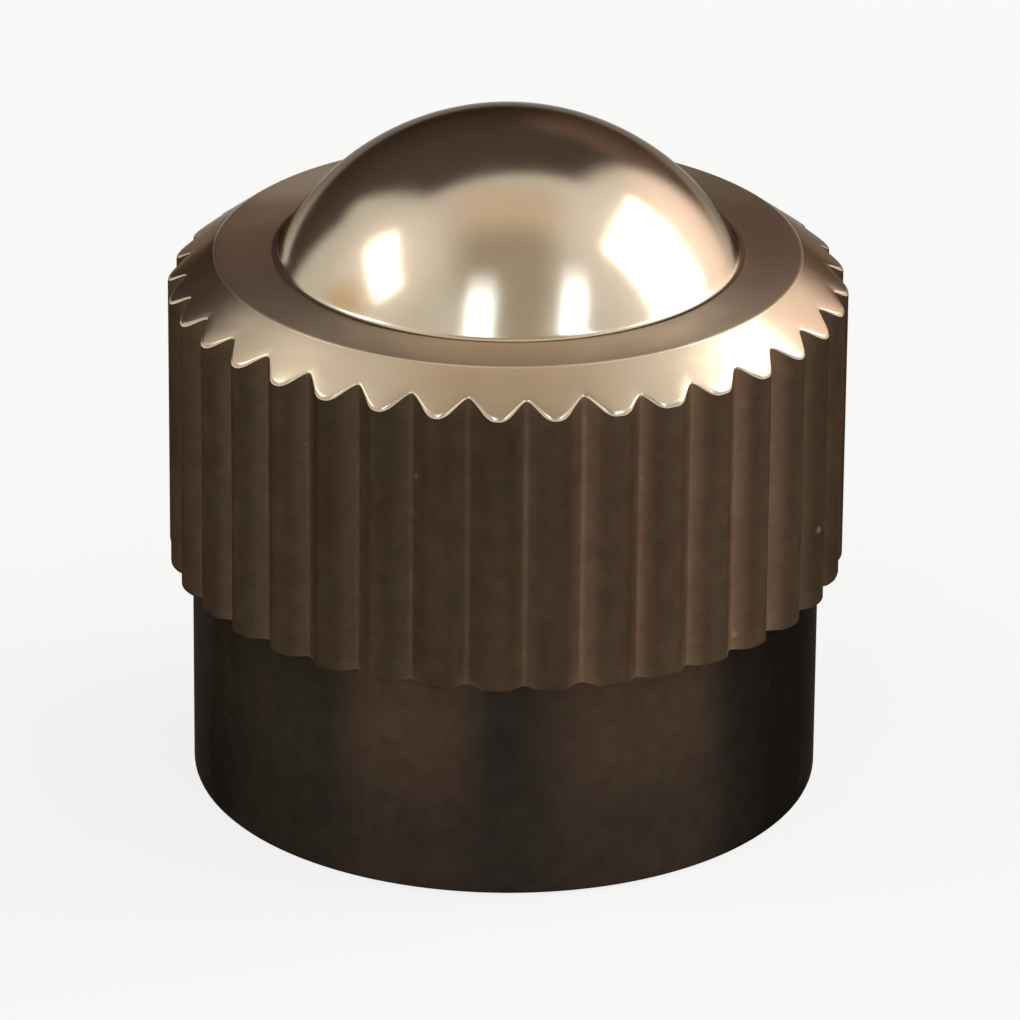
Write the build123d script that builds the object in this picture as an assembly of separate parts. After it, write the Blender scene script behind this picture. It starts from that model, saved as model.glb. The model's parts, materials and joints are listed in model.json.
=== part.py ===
from build123d import *

import math
import os

# A domed metal tyre valve cap: a turned, straight-knurled cap body and the rubber washer that seals it.
# Units are millimetres. The cap stands on its mouth: the origin is the centre of the mouth's rim, and +Z runs
# along the thread's axis to the top of the dome, with the middle of one of the knurl's teeth on +X.

# Bore for the thread of a car's valve stem, 0.305 inch with 32 threads to the inch, at the thread's root
thread_root_diameter = 7.80
mouth_countersink = 0.28

# Skirt, the plain ring below the knurl
skirt_wall = 0.75
skirt_height = 3.40
skirt_edge_chamfer = 0.10

# Straight knurl, on a band that stands proud of the skirt
knurl_count = 36
knurl_depth = 0.28
knurl_groove_angle = 90.0
knurl_groove_floor = 0.10
knurl_step = 0.07
knurl_length = 4.30
knurl_heel_chamfer = 0.12
groove_cutter_margin = 0.10

# Bevelled top edge of the knurl, flat shoulder and spherical dome
bevel_width = 0.70
bevel_angle = 37.0
shoulder_width = 0.90
dome_height = 2.05
dome_foot_fillet = 0.12

# Blind end of the bore: the washer's seat under the crown, and the drill point beyond it
crown_wall = 1.10
seat_undercut = 0.25
seat_lead = 0.30
drill_point_diameter = 3.40
drill_point_angle = 118.0

# Sealing washer, held in its seat by the undercut
washer_thickness = 1.20
washer_hole_diameter = 3.60
washer_edge_chamfer = 0.15
washer_clearance = 0.02

# Radii that follow from these sizes, from the bore outwards
thread_root_radius = thread_root_diameter / 2
seat_radius = thread_root_radius + seat_undercut
skirt_radius = thread_root_radius + skirt_wall
knurl_root_radius = skirt_radius + knurl_step
knurl_crest_radius = knurl_root_radius + knurl_depth
shoulder_radius = knurl_crest_radius - bevel_width
dome_foot_radius = shoulder_radius - shoulder_width
drill_point_radius = drill_point_diameter / 2

# Heights that follow from these sizes, from the mouth upwards
knurl_top = skirt_height + knurl_length
shoulder_top = knurl_top + bevel_width * math.tan(math.radians(bevel_angle))
dome_top = shoulder_top + dome_height
seat_ceiling = shoulder_top - crown_wall
washer_bottom = seat_ceiling - washer_thickness
seat_bottom = washer_bottom - washer_clearance
thread_end = seat_bottom - seat_lead
drill_point_top = seat_ceiling + drill_point_radius / math.tan(math.radians(drill_point_angle / 2))


def cap_half_section():
    """Half of the turned cap's section, from the axis outwards: the bore, the outside and the dome."""
    dome_sphere_radius = (dome_foot_radius**2 + dome_height**2) / (2 * dome_height)
    with BuildSketch(Plane.XZ) as section:
        with BuildLine():
            bore = Polyline(
                (0, drill_point_top),
                (drill_point_radius, seat_ceiling),
                (seat_radius, seat_ceiling),
                (seat_radius, seat_bottom),
                (thread_root_radius, thread_end),
                (thread_root_radius, mouth_countersink),
                (thread_root_radius + mouth_countersink, 0),
            )
            outside = Polyline(
                bore @ 1,
                (skirt_radius - skirt_edge_chamfer, 0),
                (skirt_radius, skirt_edge_chamfer),
                (skirt_radius, skirt_height),
                (knurl_crest_radius - knurl_heel_chamfer, skirt_height),
                (knurl_crest_radius, skirt_height + knurl_heel_chamfer),
                (knurl_crest_radius, knurl_top),
                (shoulder_radius, shoulder_top),
                (dome_foot_radius, shoulder_top),
            )
            dome = RadiusArc(outside @ 1, (0, dome_top), -dome_sphere_radius)
            Line(dome @ 1, bore @ 0)
        make_face()
        dome_foot = section.vertices().sort_by_distance((dome_foot_radius, shoulder_top))[0]
        fillet(dome_foot, dome_foot_fillet)
    return section.sketch


def knurl_grooves():
    """Cutters for the knurl's V-shaped grooves, which run out through the heel below and the bevel above."""
    half_floor = knurl_groove_floor / 2
    cutter_depth = knurl_depth + groove_cutter_margin
    cutter_half_width = half_floor + cutter_depth * math.tan(math.radians(knurl_groove_angle / 2))
    half_pitch_angle = 180 / knurl_count
    with BuildPart() as grooves:
        with BuildSketch(Plane.XY.offset(skirt_height)):
            with PolarLocations(knurl_root_radius, knurl_count, start_angle=half_pitch_angle):
                Polygon(
                    (0, -half_floor),
                    (cutter_depth, -cutter_half_width),
                    (cutter_depth, cutter_half_width),
                    (0, half_floor),
                    align=None,
                )
        extrude(amount=shoulder_top - skirt_height)
    return grooves.part


def cap_body():
    """The turned metal cap with its knurl cut."""
    turned_cap = revolve(cap_half_section(), axis=Axis.Z)
    return turned_cap - knurl_grooves()


def sealing_washer():
    """The rubber washer against the seat's ceiling, which closes on the mouth of the valve stem."""
    outer_radius = seat_radius - washer_clearance
    hole_radius = washer_hole_diameter / 2
    with BuildSketch(Plane.XZ) as section:
        with BuildLine():
            Polyline(
                (hole_radius, washer_bottom),
                (outer_radius - washer_edge_chamfer, washer_bottom),
                (outer_radius, washer_bottom + washer_edge_chamfer),
                (outer_radius, seat_ceiling),
                (hole_radius, seat_ceiling),
                close=True,
            )
        make_face()
    return revolve(section.sketch, axis=Axis.Z)


def main():
    os.makedirs("parts", exist_ok=True)
    export_step(cap_body(), "parts/cap_body.step")
    export_step(sealing_washer(), "parts/sealing_washer.step")


main()
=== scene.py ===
import json
import math
import random

import bpy
from mathutils import Matrix, Quaternion, Vector


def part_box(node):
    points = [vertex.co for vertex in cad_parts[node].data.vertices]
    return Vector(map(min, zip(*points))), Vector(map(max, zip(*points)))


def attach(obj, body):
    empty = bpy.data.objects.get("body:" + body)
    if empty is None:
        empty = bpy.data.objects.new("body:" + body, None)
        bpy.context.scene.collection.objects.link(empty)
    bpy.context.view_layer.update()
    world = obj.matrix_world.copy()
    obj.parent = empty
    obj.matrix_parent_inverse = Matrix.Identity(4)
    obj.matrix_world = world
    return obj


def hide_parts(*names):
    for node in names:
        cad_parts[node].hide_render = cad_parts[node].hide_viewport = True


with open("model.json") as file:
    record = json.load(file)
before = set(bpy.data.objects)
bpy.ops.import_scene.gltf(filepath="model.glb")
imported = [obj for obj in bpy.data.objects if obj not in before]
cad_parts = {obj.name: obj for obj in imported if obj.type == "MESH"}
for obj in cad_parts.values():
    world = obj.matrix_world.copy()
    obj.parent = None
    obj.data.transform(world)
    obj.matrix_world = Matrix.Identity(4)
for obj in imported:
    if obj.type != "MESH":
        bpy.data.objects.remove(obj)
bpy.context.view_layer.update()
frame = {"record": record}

# Lengths are in metres, written as millimetres times MM
MM = 0.001

# Sizes that the frame gives
thread_mount = next(mount for mount in frame["record"]["mounts"] if mount["name"] == "valve_thread")
cap_low, cap_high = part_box("cap_body")
washer_low, washer_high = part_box("sealing_washer")
crest_radius = min(-cap_low.x, -cap_low.y, cap_high.x, cap_high.y)
dome_top = cap_high.z
thread_root_radius = thread_mount["dims"]["r_mm"] * MM
thread_end = thread_mount["pos_m"][2] + thread_mount["dims"]["length_mm"] * MM / 2
washer_radius = washer_high.x
washer_bottom = washer_low.z
seat_ceiling = washer_high.z

# Skirt and mouth
skirt_radius = 4.65 * MM
skirt_height = 3.40 * MM
skirt_edge_round = 0.10 * MM
mouth_countersink = 0.28 * MM

# Knurl, with its crests and edges worn round and its grooves a little uneven in depth
knurl_count = 36
knurl_depth = 0.28 * MM
knurl_groove_half_angle = math.radians(45)
knurl_groove_floor = 0.10 * MM
knurl_length = 4.30 * MM
knurl_heel = 0.12 * MM
knurl_edge_round = 0.030 * MM
knurl_lip_wear = 0.035 * MM
knurl_crest_blend = 0.10 * MM
groove_unevenness = 0.30
groove_seed = 652

# Bevel, shoulder and dome
bevel_width = 0.70 * MM
bevel_angle = math.radians(37)
shoulder_edge_round = 0.035 * MM
shoulder_width = 0.90 * MM
dome_foot_fillet = 0.12 * MM

# Inside of the bore, with the thread's flank between two shares of half a pitch
thread_pitch = 25.4 / 32 * MM
thread_depth = 0.43 * MM
thread_flank = (0.15, 0.85)
thread_fade = 0.50 * MM
seat_clearance = 0.02 * MM
drill_point_radius = 1.70 * MM
drill_point_half_angle = math.radians(59)

# Washer
washer_hole_radius = 1.80 * MM
washer_edge_round = 0.18 * MM
washer_dish = 0.06 * MM

# Mesh densities
columns_per_tooth = 32
fine_columns = knurl_count * columns_per_tooth
coarse_columns = 192
floor_columns = 96
round_steps = 5
skirt_steps = 6
tooth_steps = 8
bevel_steps = 3
shoulder_steps = 4
fillet_steps = 8
dome_steps = 48
washer_steps = 12
thread_rows_per_pitch = 14
# Points of the knurl's lip that take the plate painted dark brown as painted shade
shade_painted_lip_points = 2
sharp_edge_angle = math.radians(32)

# Levels and radii that follow
knurl_root_radius = crest_radius - knurl_depth
knurl_top = skirt_height + knurl_length
shoulder_radius = crest_radius - bevel_width
shoulder_top = knurl_top + bevel_width * math.tan(bevel_angle)
dome_foot_radius = shoulder_radius - shoulder_width
mouth_radius = thread_root_radius + mouth_countersink
seat_radius = washer_radius + seat_clearance
seat_bottom = washer_bottom - seat_clearance
drill_point_top = seat_ceiling + drill_point_radius / math.tan(drill_point_half_angle)

# Finishes of the cap's faces, as material indices. The knurl and skirt take plate painted dark brown:
# painted shade for the dark surroundings that these upright sides reflect.
POLISHED, TURNED, SATIN, PAINTED_SHADE, BORE = range(5)

# Ranges that hold most values of one noise, and of two noises added up
noise_range = (0.3, 0.7)
noise_sum_range = (0.7, 1.3)

# Camera, with its angles in degrees and its lens and sensor in millimetres
view_azimuth = 1.6
view_elevation = 25.9
view_roll = 0.5
view_distance = 130 * MM
aim_height = 4.05 * MM
aim_right = 0.06 * MM
focal_length = 304.9
sensor_width = 36
clip_start = 0.01
clip_end = 10

# Floor and lamps
floor_radius = 0.8
floor_glow = 0.8
lamp_distance = 0.5
lamp_brightness = 3.2
lamp_colour = (1.0, 0.94, 0.85)


def clamp(value, low=0.0, high=1.0):
    return min(max(value, low), high)


def smooth_step(low, high, value):
    """Share from 0 at low to 1 at high, eased at both ends."""
    share = clamp((value - low) / (high - low))
    return share * share * (3 - 2 * share)


def smooth_min(first, second, blend):
    """The smaller of two lengths, with the corner where they cross rounded off over blend."""
    share = clamp(0.5 + (second - first) / (2 * blend))
    return second + (first - second) * share - blend * share * (1 - share)


def direction(azimuth, elevation):
    """Unit vector at angles in degrees, with azimuth 0 towards the camera and positive to its right."""
    turned = math.radians(azimuth + view_azimuth)
    lifted = math.radians(elevation)
    return Vector((
        math.sin(turned) * math.cos(lifted),
        -math.cos(turned) * math.cos(lifted),
        math.sin(lifted),
    ))


# Stretches of a section, as points of radius and height

def rounded_corner(before, corner, after, reach):
    """Points of a curve that rounds a corner, from reach before it to reach beyond it."""
    before, corner, after = Vector(before), Vector(corner), Vector(after)
    start = corner + (before - corner).normalized() * reach
    end = corner + (after - corner).normalized() * reach
    points = []
    for step in range(round_steps + 1):
        share = step / round_steps
        points.append(start * (1 - share) ** 2 + corner * 2 * share * (1 - share) + end * share**2)
    return points


def arc(centre, radius, start_angle, end_angle, steps):
    """Points of an arc, at angles above the radial direction."""
    points = []
    for step in range(steps + 1):
        angle = start_angle + (end_angle - start_angle) * step / steps
        points.append(Vector((centre[0] + radius * math.cos(angle), centre[1] + radius * math.sin(angle))))
    return points


def straight(start, end, steps):
    """Points between two points, without the two themselves."""
    start, end = Vector(start), Vector(end)
    return [start.lerp(end, step / steps) for step in range(1, steps)]


# Meshes of rings about Z

def ring_angles(columns):
    """Even angles about Z, from +X."""
    return [2 * math.pi * column / columns for column in range(columns)]


class TurnedMesh:
    """A surface of rings about Z, each joined to the one before it, with a finish for every face."""

    def __init__(self):
        self.vertices = []
        self.faces = []
        self.finishes = []
        self.last_ring = []

    def add_ring(self, points, finish=0):
        """Adds a ring of points, given by radius and height, at even angles."""
        first = len(self.vertices)
        for angle, (radius, height) in zip(ring_angles(len(points)), points):
            self.vertices.append((radius * math.cos(angle), radius * math.sin(angle), height))
        self.join(list(range(first, len(self.vertices))), finish)

    def add_pole(self, height, finish=0):
        """Adds a point on the axis."""
        self.vertices.append((0, 0, height))
        self.join([len(self.vertices) - 1], finish)

    def join(self, ring, finish=0):
        """Joins a ring of vertex numbers to the last one."""
        if self.last_ring:
            new_faces = self.strip(self.last_ring, ring)
            self.faces += new_faces
            self.finishes += [finish] * len(new_faces)
        self.last_ring = ring

    @staticmethod
    def strip(before, after):
        """Faces between two rings: quads if they have as many points, and triangles if they differ."""
        before_next = before[1:] + before[:1]
        after_next = after[1:] + after[:1]
        if len(before) == 1:
            return [(before[0], end, start) for start, end in zip(after, after_next)]
        if len(after) == 1:
            return [(start, end, after[0]) for start, end in zip(before, before_next)]
        if len(before) == len(after):
            return list(zip(before, before_next, after_next, after))
        faces = []
        used_before = used_after = 0
        while used_before < len(before) or used_after < len(after):
            from_before = before[used_before % len(before)]
            from_after = after[used_after % len(after)]
            if (used_before + 1) * len(after) <= (used_after + 1) * len(before):
                faces.append((from_before, before_next[used_before], from_after))
                used_before += 1
            else:
                faces.append((from_before, after_next[used_after], from_after))
                used_after += 1
        return faces

    def make_object(self, name, materials):
        """Makes the object, smooth apart from its sharp edges."""
        mesh = bpy.data.meshes.new(name)
        mesh.from_pydata(self.vertices, [], self.faces)
        mesh.polygons.foreach_set("material_index", self.finishes)
        mesh.polygons.foreach_set("use_smooth", [True] * len(mesh.polygons))
        for material in materials:
            mesh.materials.append(material)
        mesh.set_sharp_from_angle(angle=sharp_edge_angle)
        mesh.update()
        piece = bpy.data.objects.new(name, mesh)
        bpy.context.scene.collection.objects.link(piece)
        normals = piece.modifiers.new("face_weighted_normals", "WEIGHTED_NORMAL")
        normals.keep_sharp = True
        return piece


# The cap

def uneven_groove_depths():
    """Depths of the knurl's grooves in turn from +X, most near the full depth and a few shallower."""
    draw = random.Random(groove_seed)
    return [knurl_depth * (1 - groove_unevenness * draw.random() ** 2) for groove in range(knurl_count)]


groove_depths = uneven_groove_depths()


def tooth_radius(angle):
    """Radius of the knurl: crests at whole pitches, and V grooves with narrow rounded floors between."""
    pitch = 2 * math.pi / knurl_count
    groove = int(angle / pitch) % knurl_count
    from_groove = angle - (groove + 0.5) * pitch
    root_radius = crest_radius - groove_depths[groove]
    half_floor = knurl_groove_floor / 2
    side = math.hypot(root_radius * math.sin(from_groove), half_floor) - half_floor
    flank = (root_radius + side / math.tan(knurl_groove_half_angle)) / math.cos(from_groove)
    return smooth_min(flank, crest_radius, knurl_crest_blend)


def thread_radius(angle, height):
    """Radius of the bore: a right-hand thread that fades out at its end, cut by the mouth's countersink."""
    turn = (height / thread_pitch - angle / (2 * math.pi)) % 1
    ridge = smooth_step(*thread_flank, abs(2 * turn - 1))
    fade = 1 - smooth_step(thread_end - thread_fade, thread_end, height)
    return max(thread_root_radius - thread_depth * ridge * fade, mouth_radius - height)


def outside_section(angle):
    """Section from the mouth's rim to the shoulder's edge, as points with the finish up to each."""
    tooth = tooth_radius(angle)
    crease = knurl_top + (crest_radius - tooth) * math.tan(bevel_angle)
    rim = (mouth_radius, 0)
    skirt_foot = (skirt_radius, 0)
    skirt_end = (skirt_radius, skirt_height)
    tooth_foot = (tooth, skirt_height)
    tooth_top = (tooth, crease)
    shoulder_edge = (shoulder_radius, shoulder_top)
    dome_foot = (dome_foot_radius, shoulder_top)

    heel = max(knurl_edge_round, tooth - crest_radius + knurl_heel)
    lip = knurl_edge_round + knurl_lip_wear * smooth_step(knurl_root_radius, crest_radius, tooth)
    skirt_round = rounded_corner(rim, skirt_foot, skirt_end, skirt_edge_round)
    heel_round = rounded_corner(skirt_end, tooth_foot, tooth_top, heel)
    lip_round = rounded_corner(tooth_foot, tooth_top, shoulder_edge, lip)
    shoulder_round = rounded_corner(tooth_top, shoulder_edge, dome_foot, shoulder_edge_round)

    # The skirt, the knurl and the first points of its lip take the plate painted dark brown as painted
    # shade
    dark = skirt_round + straight(skirt_round[-1], skirt_end, skirt_steps) + [Vector(skirt_end)]
    dark += heel_round + straight(heel_round[-1], lip_round[0], tooth_steps) + lip_round[:shade_painted_lip_points]
    bevel = lip_round[shade_painted_lip_points:] + straight(lip_round[-1], shoulder_round[0], bevel_steps)
    stretches = [(dark, PAINTED_SHADE), (bevel + shoulder_round[:1], TURNED), (shoulder_round[1:], SATIN)]
    return [(point, finish) for points, finish in stretches for point in points]


def crown_section():
    """Section from the shoulder, round the dome's foot and up the dome, in the same form."""
    dome_height = dome_top - shoulder_top
    sphere_radius = (dome_foot_radius**2 + dome_height**2) / (2 * dome_height)
    sphere_centre = dome_top - sphere_radius
    fillet_centre_height = shoulder_top + dome_foot_fillet
    rise = fillet_centre_height - sphere_centre
    fillet_centre_radius = math.sqrt((sphere_radius + dome_foot_fillet) ** 2 - rise**2)
    dome_start = math.atan2(rise, fillet_centre_radius)
    fillet_centre = (fillet_centre_radius, fillet_centre_height)

    fillet = arc(fillet_centre, dome_foot_fillet, -math.pi / 2, dome_start - math.pi, fillet_steps)
    dome = arc((0, sphere_centre), sphere_radius, dome_start, math.pi / 2, dome_steps)
    shoulder = straight((shoulder_radius, shoulder_top), fillet[0], shoulder_steps) + fillet[:1]
    stretches = [(shoulder, SATIN), (fillet[1:] + dome[1:-1], POLISHED)]
    return [(point, finish) for points, finish in stretches for point in points]


def make_cap(materials):
    """The metal cap, from the bore's blind end down to the mouth and up the outside to the dome's top."""
    cap = TurnedMesh()

    cap.add_pole(drill_point_top, BORE)
    for corner in [
        (drill_point_radius, seat_ceiling),
        (seat_radius, seat_ceiling),
        (seat_radius, seat_bottom),
    ]:
        cap.add_ring([corner] * coarse_columns, BORE)
    thread_rows = round(thread_end / thread_pitch * thread_rows_per_pitch)
    for row in range(thread_rows, -1, -1):
        height = thread_end * row / thread_rows
        row_points = [(thread_radius(angle, height), height) for angle in ring_angles(coarse_columns)]
        cap.add_ring(row_points, BORE)

    sections = [outside_section(angle) for angle in ring_angles(fine_columns)]
    for stations in zip(*sections):
        finish = stations[0][1]
        cap.add_ring([point for point, same_finish in stations], finish)

    for point, finish in crown_section():
        cap.add_ring([point] * coarse_columns, finish)
    cap.add_pole(dome_top, POLISHED)
    return cap.make_object("cap_body_finished", materials)


# The washer

def make_washer(material):
    """The rubber washer, with rounded edges and a face that the valve stem has dished a little."""
    inner_edge = washer_hole_radius + washer_edge_round
    outer_edge = washer_radius - washer_edge_round
    top_inner = (washer_hole_radius, seat_ceiling)
    top_outer = (washer_radius, seat_ceiling)
    low_outer = (washer_radius, washer_bottom)
    low_inner = (washer_hole_radius, washer_bottom)
    corners = [top_inner, low_inner, low_outer, top_outer]
    outline = []
    for index, corner in enumerate(corners):
        after = corners[(index + 1) % len(corners)]
        outline += rounded_corner(corners[index - 1], corner, after, washer_edge_round)
        if corner == low_inner:
            outline += straight(outline[-1], (outer_edge, washer_bottom), washer_steps)
    for point in outline:
        if point.y < washer_bottom + washer_dish and inner_edge < point.x < outer_edge:
            share = (point.x - inner_edge) / (outer_edge - inner_edge)
            point.y += washer_dish * math.sin(math.pi * share)

    washer = TurnedMesh()
    for point in outline:
        washer.add_ring([point] * coarse_columns)
    first_ring = list(range(coarse_columns))
    washer.join(first_ring)
    return washer.make_object("sealing_washer_finished", [material])


# Shader nodes

def new_material(name):
    """An empty material and its node tree."""
    material = bpy.data.materials.new(name)
    material.use_nodes = True
    material.node_tree.nodes.clear()
    return material, material.node_tree


def add_node(tree, kind, inputs=None, **settings):
    """Adds a shader node, sets its properties, and sets or links its inputs."""
    node = tree.nodes.new(kind)
    for name, value in settings.items():
        setattr(node, name, value)
    for name, value in (inputs or {}).items():
        if isinstance(value, bpy.types.NodeSocket):
            tree.links.new(value, node.inputs[name])
        else:
            node.inputs[name].default_value = value
    return node


def math_node(tree, operation, *values):
    """Result of an operation on one or two values."""
    return add_node(tree, "ShaderNodeMath", dict(enumerate(values)), operation=operation).outputs["Value"]


def along(tree, vector, axis):
    """How far a vector reaches along an axis."""
    inputs = {0: vector, 1: axis}
    return add_node(tree, "ShaderNodeVectorMath", inputs, operation="DOT_PRODUCT").outputs["Value"]


def remap(tree, value, low, high, new_low=0, new_high=1):
    """A value's smooth step from new_low at low to new_high at high."""
    inputs = {"Value": value, "From Min": low, "From Max": high, "To Min": new_low, "To Max": new_high}
    return add_node(tree, "ShaderNodeMapRange", inputs, interpolation_type="SMOOTHSTEP").outputs["Result"]


def find_socket(sockets, identifier):
    """The socket with an identifier, for nodes that have several sockets of one name."""
    return next(socket for socket in sockets if socket.identifier == identifier)


def mix_colour(tree, share, first, second):
    """A mix of two colours, each of which is a socket or three numbers."""
    node = add_node(tree, "ShaderNodeMix", {"Factor": share}, data_type="RGBA")
    for identifier, value in [("A_Color", first), ("B_Color", second)]:
        socket = find_socket(node.inputs, identifier)
        if isinstance(value, bpy.types.NodeSocket):
            tree.links.new(value, socket)
        else:
            socket.default_value = (*value, 1)
    return find_socket(node.outputs, "Result_Color")


def noise(tree, vector, waves, detail=3, roughness=0.55):
    """Noise with so many waves to the unit of the vector, and finer layers on top of them."""
    inputs = {"Vector": vector, "Scale": waves, "Detail": detail, "Roughness": roughness}
    return add_node(tree, "ShaderNodeTexNoise", inputs).outputs["Fac"]


def line_noise(tree, value, waves, detail):
    """Noise along one value."""
    inputs = {"W": value, "Scale": waves, "Detail": detail}
    return add_node(tree, "ShaderNodeTexNoise", inputs, noise_dimensions="1D").outputs["Fac"]


def bump(tree, height, strength, depth):
    """Normals of a surface with bumps of this height."""
    inputs = {"Height": height, "Strength": strength, "Distance": depth}
    return add_node(tree, "ShaderNodeBump", inputs).outputs["Normal"]


def object_position(tree):
    """Place on the object, in its own frame."""
    return add_node(tree, "ShaderNodeTexCoord").outputs["Object"]


def split_position(tree, position):
    """Sockets for a position's X, Y and Z."""
    return add_node(tree, "ShaderNodeSeparateXYZ", {"Vector": position}).outputs


def axis_distance(tree, parts):
    """Distance from the object's axis, from the parts of a position."""
    flat = add_node(tree, "ShaderNodeCombineXYZ", {"X": parts["X"], "Y": parts["Y"]}).outputs["Vector"]
    return add_node(tree, "ShaderNodeVectorMath", {0: flat}, operation="LENGTH").outputs["Value"]


def upright_patch(tree, position, radius, azimuth, spread):
    """Share of a soft upright patch at an azimuth and of one opposite it, with angles in degrees."""
    across = math_node(tree, "DIVIDE", along(tree, position, direction(azimuth, 0)), radius)
    return remap(tree, math_node(tree, "ABSOLUTE", across), math.cos(math.radians(spread)), 1)


def surface(tree, inputs):
    """Ends a material in a surface with these inputs."""
    shader = add_node(tree, "ShaderNodeBsdfPrincipled", inputs)
    add_node(tree, "ShaderNodeOutputMaterial", {"Surface": shader.outputs["BSDF"]})


# Materials

def nickel_plate(name, tone, pale_tone, roughness, edge_tint, turning_marks):
    """Bright warm nickel plate, in two tones and a range of roughness.

    The turning marks run round the axis, and the finish spreads light across them.
    """
    polish_range = (0.35, 0.75)
    quarter_turn = 0.25
    material, tree = new_material(name)
    position = object_position(tree)
    radius = axis_distance(tree, split_position(tree, position))
    patches = noise(tree, position, waves=420, detail=4)
    polish = noise(tree, position, waves=900, detail=5)
    marks = line_noise(tree, radius, waves=9000, detail=1)
    round_axis = add_node(tree, "ShaderNodeTangent", direction_type="RADIAL", axis="Z")
    surface(tree, {
        "Base Color": mix_colour(tree, remap(tree, patches, *noise_range), tone, pale_tone),
        "Metallic": 1.0,
        "Roughness": remap(tree, polish, *polish_range, *roughness),
        "Specular Tint": (*edge_tint, 1),
        "Anisotropic": turning_marks,
        "Anisotropic Rotation": quarter_turn,
        "Tangent": round_axis.outputs["Tangent"],
        "Normal": bump(tree, marks, strength=0.05, depth=0.0015 * MM),
    })
    return material


def polished_plate():
    """The polished plate of the dome."""
    return nickel_plate(
        "polished_nickel_plate",
        tone=(0.79, 0.675, 0.55),
        pale_tone=(0.85, 0.735, 0.61),
        roughness=(0.14, 0.19),
        edge_tint=(0.20, 0.165, 0.14),
        turning_marks=0.0,
    )


def turned_plate():
    """The plate of the bevel, less polished than the dome."""
    return nickel_plate(
        "turned_nickel_plate",
        tone=(0.71, 0.588, 0.46),
        pale_tone=(0.77, 0.648, 0.515),
        roughness=(0.20, 0.25),
        edge_tint=(0.20, 0.16, 0.13),
        turning_marks=0.4,
    )


def satin_plate():
    """The duller plate of the flat shoulder round the dome, with the strongest turning marks."""
    return nickel_plate(
        "satin_nickel_plate",
        tone=(0.93, 0.785, 0.635),
        pale_tone=(0.97, 0.83, 0.68),
        roughness=(0.29, 0.33),
        edge_tint=(0.90, 0.86, 0.82),
        turning_marks=0.88,
    )


def knurl_colour(tree, position, radius, tones):
    """Dark crests and grooves painted paler as painted reflection, a painted highlight in a patch on the
    camera's right, and a few bright nicks.
    """
    dark_crest = (0.046, 0.030, 0.019)
    crest = (0.070, 0.046, 0.029)
    crest_in_painted_highlight = (0.105, 0.067, 0.044)
    # Grooves paler than the crests: painted reflection, lighter though the grooves lie in shade
    groove = (0.105, 0.071, 0.046)
    groove_in_painted_highlight = (0.205, 0.128, 0.082)
    bare_plate = (0.36, 0.26, 0.17)
    crest_band = 0.02 * MM
    painted_highlight_on_crests = 0.4
    nick_range = (0.745, 0.80)
    nick_strength = 0.6
    # Painted highlight of the right lamp, in a patch on the camera's right and one opposite it, on crests
    # and grooves
    patch = upright_patch(tree, position, radius, azimuth=33, spread=38)
    crests = mix_colour(tree, remap(tree, tones, *noise_sum_range), dark_crest, crest)
    crests = mix_colour(tree, math_node(tree, "MULTIPLY", patch, painted_highlight_on_crests), crests, crest_in_painted_highlight)
    grooves = mix_colour(tree, patch, groove, groove_in_painted_highlight)
    in_groove = remap(tree, radius, crest_radius - crest_band, knurl_root_radius)
    knurl = mix_colour(tree, in_groove, crests, grooves)
    nicks = remap(tree, noise(tree, position, waves=1900, detail=1), *nick_range, 0, nick_strength)
    return mix_colour(tree, nicks, knurl, bare_plate)


def skirt_colour(tree, position, radius, height, blotches):
    """Blackish brown painted shade with blotches, two paler patches of painted reflection that fade towards
    the mouth, and a darker patch of painted shade on the right.
    """
    dark_brown = (0.024, 0.019, 0.015)
    brown = (0.036, 0.028, 0.022)
    painted_reflection_brown = (0.070, 0.044, 0.030)
    painted_shade_black = (0.014, 0.012, 0.010)
    fade_start = 0.8 * MM
    fade_end = 2.6 * MM
    share_at_mouth = 0.35
    skirt = mix_colour(tree, remap(tree, blotches, *noise_range), dark_brown, brown)
    # Painted reflections of a lit floor in two patches, fading towards the mouth
    left_painted_reflection = upright_patch(tree, position, radius, azimuth=-17.5, spread=16.5)
    right_painted_reflection = upright_patch(tree, position, radius, azimuth=25, spread=22)
    upwards = remap(tree, height, fade_start, fade_end, share_at_mouth, 1)
    painted_reflection_share = math_node(tree, "MULTIPLY", math_node(tree, "MAXIMUM", left_painted_reflection, right_painted_reflection), upwards)
    skirt = mix_colour(tree, painted_reflection_share, skirt, painted_reflection_brown)
    # Painted shade: a blackish patch on the camera's right and one opposite it
    painted_shade_patch = upright_patch(tree, position, radius, azimuth=64, spread=27)
    return mix_colour(tree, painted_shade_patch, skirt, painted_shade_black)


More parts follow.
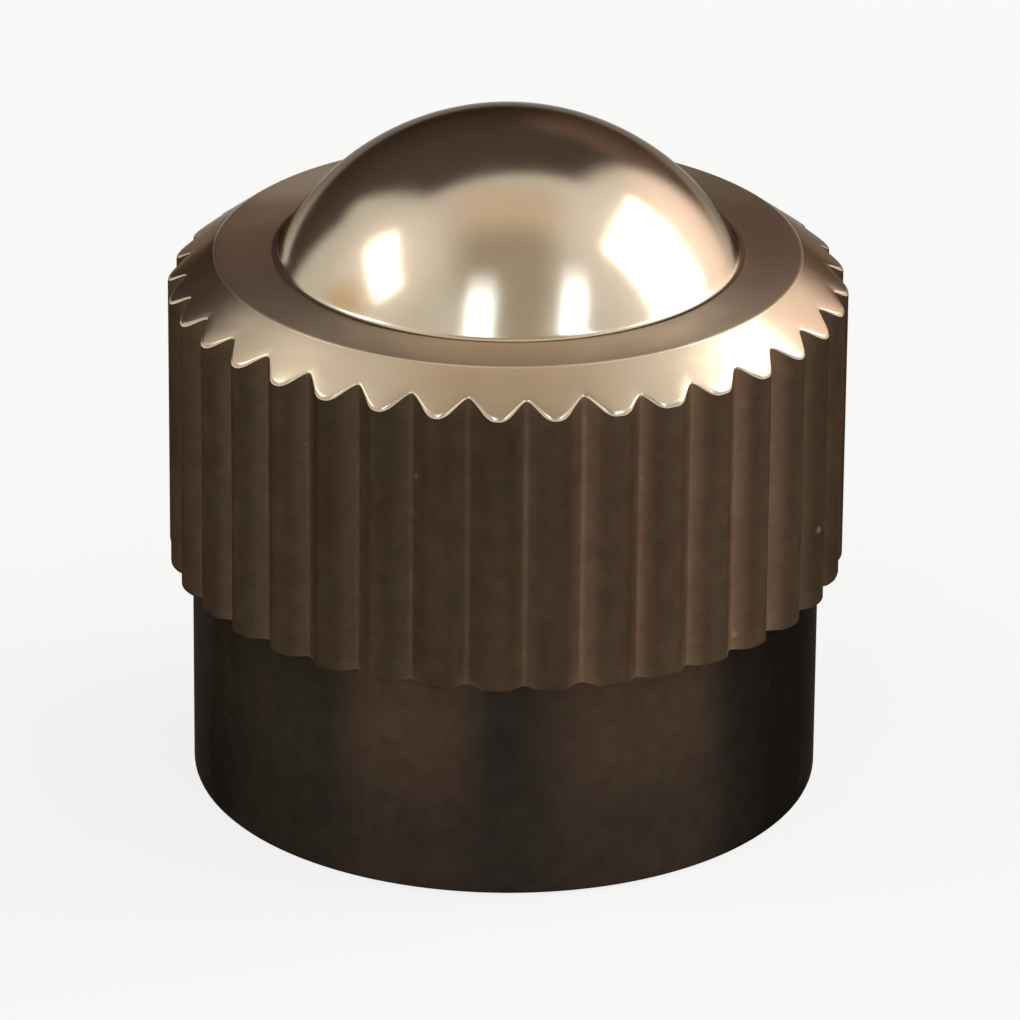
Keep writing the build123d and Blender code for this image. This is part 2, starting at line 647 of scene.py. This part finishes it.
def shade_painted_plate():
    """The same plate painted dark brown on the knurl and the skirt, as painted shade for the dark
    surroundings they reflect, with blotches, streaks and mottling.
    """
    streak_stretch = 9
    knurl_edge = 0.02 * MM
    material, tree = new_material("nickel_plate_with_painted_shade")
    position = object_position(tree)
    parts = split_position(tree, position)
    radius = axis_distance(tree, parts)
    angle = math_node(tree, "ARCTAN2", parts["Y"], parts["X"])
    height = parts["Z"]
    upright_inputs = {"X": angle, "Y": math_node(tree, "MULTIPLY", height, streak_stretch)}
    upright = add_node(tree, "ShaderNodeCombineXYZ", upright_inputs).outputs["Vector"]
    blotches = noise(tree, position, waves=330, detail=4, roughness=0.6)
    streaks = noise(tree, upright, waves=60)
    tooth_tones = noise(tree, upright, waves=9, detail=1)
    hues = noise(tree, position, waves=2600, detail=4)
    values = noise(tree, position, waves=3400, detail=4, roughness=0.65)

    knurl = knurl_colour(tree, position, radius, math_node(tree, "ADD", blotches, tooth_tones))
    skirt = skirt_colour(tree, position, radius, height, blotches)
    on_knurl = remap(tree, height, skirt_height - knurl_edge, skirt_height + knurl_edge)
    mottled = add_node(tree, "ShaderNodeHueSaturation", {
        "Color": mix_colour(tree, on_knurl, skirt, knurl),
        "Hue": remap(tree, hues, *noise_range, 0.487, 0.513),
        "Value": remap(tree, values, *noise_range, 0.90, 1.10),
    })
    unevenness = math_node(tree, "ADD", blotches, streaks)
    surface(tree, {
        "Base Color": mottled.outputs["Color"],
        "Metallic": 0.5,
        "Roughness": remap(tree, unevenness, *noise_sum_range, 0.48, 0.60),
        "Specular IOR Level": 0.0,
        "Specular Tint": (0.35, 0.30, 0.26, 1),
        "Normal": bump(tree, unevenness, strength=0.35, depth=0.004 * MM),
    })
    return material


def bore_plate():
    """Dull plate over brass in the bore, yellower where it is thin."""
    plate = (0.36, 0.30, 0.22)
    thin_plate = (0.46, 0.35, 0.19)
    thin_range = (0.35, 0.7)
    material, tree = new_material("dull_plate_over_brass")
    position = object_position(tree)
    patches = noise(tree, position, waves=700, detail=5)
    grain = noise(tree, position, waves=4000, detail=4)
    surface(tree, {
        "Base Color": mix_colour(tree, remap(tree, patches, *thin_range), plate, thin_plate),
        "Metallic": 1.0,
        "Roughness": remap(tree, patches, *noise_range, 0.30, 0.46),
        "Normal": bump(tree, grain, strength=0.2, depth=0.004 * MM),
    })
    return material


def seal_rubber():
    """Matt black moulded rubber with a grey bloom."""
    black = (0.018, 0.018, 0.019)
    grey = (0.045, 0.044, 0.042)
    bloom_range = (0.4, 0.75)
    material, tree = new_material("seal_rubber")
    position = object_position(tree)
    bloom = noise(tree, position, waves=900, detail=6, roughness=0.65)
    grain = noise(tree, position, waves=9000, detail=4)
    surface(tree, {
        "Base Color": mix_colour(tree, remap(tree, bloom, *bloom_range), black, grey),
        "Roughness": remap(tree, bloom, *noise_range, 0.62, 0.82),
        "Normal": bump(tree, grain, strength=0.35, depth=0.006 * MM),
    })
    return material


def floor_paper():
    """White paper, which the camera and polished metal see a little brighter than it is lit."""
    cool_white = (0.84, 0.86, 0.89, 1)
    white = (1, 1, 1, 1)
    material, tree = new_material("pale_floor")
    paper = add_node(tree, "ShaderNodeBsdfDiffuse", {"Color": cool_white})
    glow = add_node(tree, "ShaderNodeEmission", {"Color": white, "Strength": 1.0})
    path = add_node(tree, "ShaderNodeLightPath").outputs
    seen = math_node(tree, "MAXIMUM", path["Is Camera Ray"], path["Is Glossy Ray"])
    seen = math_node(tree, "MAXIMUM", seen, path["Is Transmission Ray"])
    floor = add_node(tree, "ShaderNodeMixShader", {
        "Fac": math_node(tree, "MULTIPLY", seen, floor_glow),
        1: paper.outputs["BSDF"],
        2: glow.outputs["Emission"],
    })
    add_node(tree, "ShaderNodeOutputMaterial", {"Surface": floor.outputs["Shader"]})
    return material


# Stage: floor, light and camera

def make_floor():
    """A round pale floor, which the object stands on."""
    floor = TurnedMesh()
    floor.add_ring([(floor_radius, 0)] * floor_columns)
    floor.add_pole(height=0)
    floor.make_object("floor", [floor_paper()])


def panel_axes(azimuth, elevation, turn):
    """Directions to a panel round the object, across it and up it, turned about the first."""
    facing = direction(azimuth, elevation)
    across = direction(azimuth + 90, 0)
    across.rotate(Quaternion(facing, math.radians(turn)))
    return facing, across, facing.cross(across)


def panel_share(tree, ray, azimuth, elevation, width, height, edge, fade, turn=0):
    """Share of a panel that a ray meets, with the panel's place, size and soft edges in degrees."""
    facing, across, upwards = panel_axes(azimuth, elevation, turn)
    ahead = along(tree, ray, facing)
    shares = []
    for axis, span, softness in [(across, width, edge), (upwards, height, fade)]:
        reach = math_node(tree, "MULTIPLY", ahead, math.tan(math.radians(span / 2)))
        from_middle = math_node(tree, "ABSOLUTE", along(tree, ray, axis))
        half_edge = math.tan(math.radians(softness / 2))
        shares.append(remap(tree, math_node(tree, "SUBTRACT", reach, from_middle), -half_edge, half_edge))
    return math_node(tree, "MULTIPLY", *shares)


def glow_share(tree, ray, azimuth, elevation, spread):
    """Share of a round glow that a ray meets, full in its middle and none at spread from it, in degrees."""
    return remap(tree, along(tree, ray, direction(azimuth, elevation)), math.cos(math.radians(spread)), 1)


def make_world():
    """A light tent: pale walls that glow round each lamp and have a warm patch low on each side.

    The front has a duller roof with a paler ridge and two windows, and the back opens to a dim room.
    """
    walls = (0.63, 0.61, 0.54)
    glow = (0.85, 0.81, 0.73)
    warm_glow = (1.46, 1.20, 1.07)
    warm_wall = (0.60, 0.45, 0.26)
    ridge = (0.67, 0.545, 0.42)
    roof = (0.372, 0.322, 0.235)
    room = (0.071, 0.054, 0.045)
    room_side = (0.18, 0.122, 0.094)
    window = (2.2, 2.5, 2.7)
    glows = [
        (glow, dict(azimuth=-87, elevation=41, spread=30)),
        (glow, dict(azimuth=103, elevation=36, spread=48)),
        (warm_glow, dict(azimuth=131, elevation=15, spread=27)),
        (warm_wall, dict(azimuth=-88, elevation=14, spread=20)),
    ]
    panels = [
        (ridge, dict(azimuth=-2, elevation=92, width=36, height=28, edge=16, fade=14)),
        (roof, dict(azimuth=-1, elevation=55, width=40, height=60, edge=18, fade=22)),
        (room, dict(azimuth=-171.5, elevation=20, width=66, height=92, edge=9, fade=9, turn=2)),
        (room, dict(azimuth=-140, elevation=4, width=26, height=44, edge=9, fade=12)),
        (room_side, dict(azimuth=163, elevation=12, width=24, height=34, edge=10, fade=14)),
        (window, dict(azimuth=-16, elevation=39, width=12, height=32, edge=4, fade=22, turn=6)),
        (window, dict(azimuth=37, elevation=38, width=11, height=34, edge=4, fade=22, turn=-28)),
    ]
    world = bpy.data.worlds.new("light_tent")
    bpy.context.scene.world = world
    world.use_nodes = True
    tree = world.node_tree
    tree.nodes.clear()
    ray = add_node(tree, "ShaderNodeTexCoord").outputs["Generated"]
    colour = walls
    for light, place in glows:
        colour = mix_colour(tree, glow_share(tree, ray, **place), colour, light)
    for light, place in panels:
        colour = mix_colour(tree, panel_share(tree, ray, **place), colour, light)
    background = add_node(tree, "ShaderNodeBackground", {"Color": colour, "Strength": 1.0})
    add_node(tree, "ShaderNodeOutputWorld", {"Surface": background.outputs["Background"]})


def make_lamp(name, azimuth, elevation, width, height, turn):
    """A flat soft lamp that faces the object, with its place and size in degrees."""
    facing, across, upwards = panel_axes(azimuth, elevation, turn)
    lamp = bpy.data.lights.new(name, "AREA")
    lamp.shape = "RECTANGLE"
    lamp.size = 2 * lamp_distance * math.tan(math.radians(width / 2))
    lamp.size_y = 2 * lamp_distance * math.tan(math.radians(height / 2))
    lamp.color = lamp_colour
    lamp.energy = lamp_brightness * math.pi * lamp.size * lamp.size_y
    holder = bpy.data.objects.new(name, lamp)
    holder.matrix_world = Matrix((across, upwards, facing)).transposed().to_4x4()
    holder.location = facing * lamp_distance
    bpy.context.scene.collection.objects.link(holder)


def make_camera():
    """The camera at the photo's viewing angle."""
    camera = bpy.data.cameras.new("camera")
    camera.lens = focal_length
    camera.sensor_width = sensor_width
    camera.clip_start = clip_start
    camera.clip_end = clip_end
    holder = bpy.data.objects.new("camera", camera)
    place = direction(0, view_elevation) * view_distance
    aim = direction(90, 0) * aim_right + Vector((0, 0, aim_height))
    looking = (aim - place).to_track_quat("-Z", "Y")
    holder.location = place
    holder.rotation_mode = "QUATERNION"
    holder.rotation_quaternion = looking @ Quaternion((0, 0, 1), math.radians(view_roll))
    bpy.context.scene.collection.objects.link(holder)
    bpy.context.scene.camera = holder


def dress_object():
    """The two finished pieces, in place of their solids."""
    cap = make_cap([polished_plate(), turned_plate(), satin_plate(), shade_painted_plate(), bore_plate()])
    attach(cap, "root")
    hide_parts("cap_body")
    washer = make_washer(seal_rubber())
    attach(washer, "root")
    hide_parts("sealing_washer")


dress_object()
make_floor()
make_world()
make_lamp("left_lamp", azimuth=-87, elevation=41, width=25, height=12, turn=-15)
make_lamp("right_lamp", azimuth=103, elevation=34.5, width=36, height=33, turn=-20)
make_camera()
bpy.context.scene.view_settings.view_transform = "Standard"
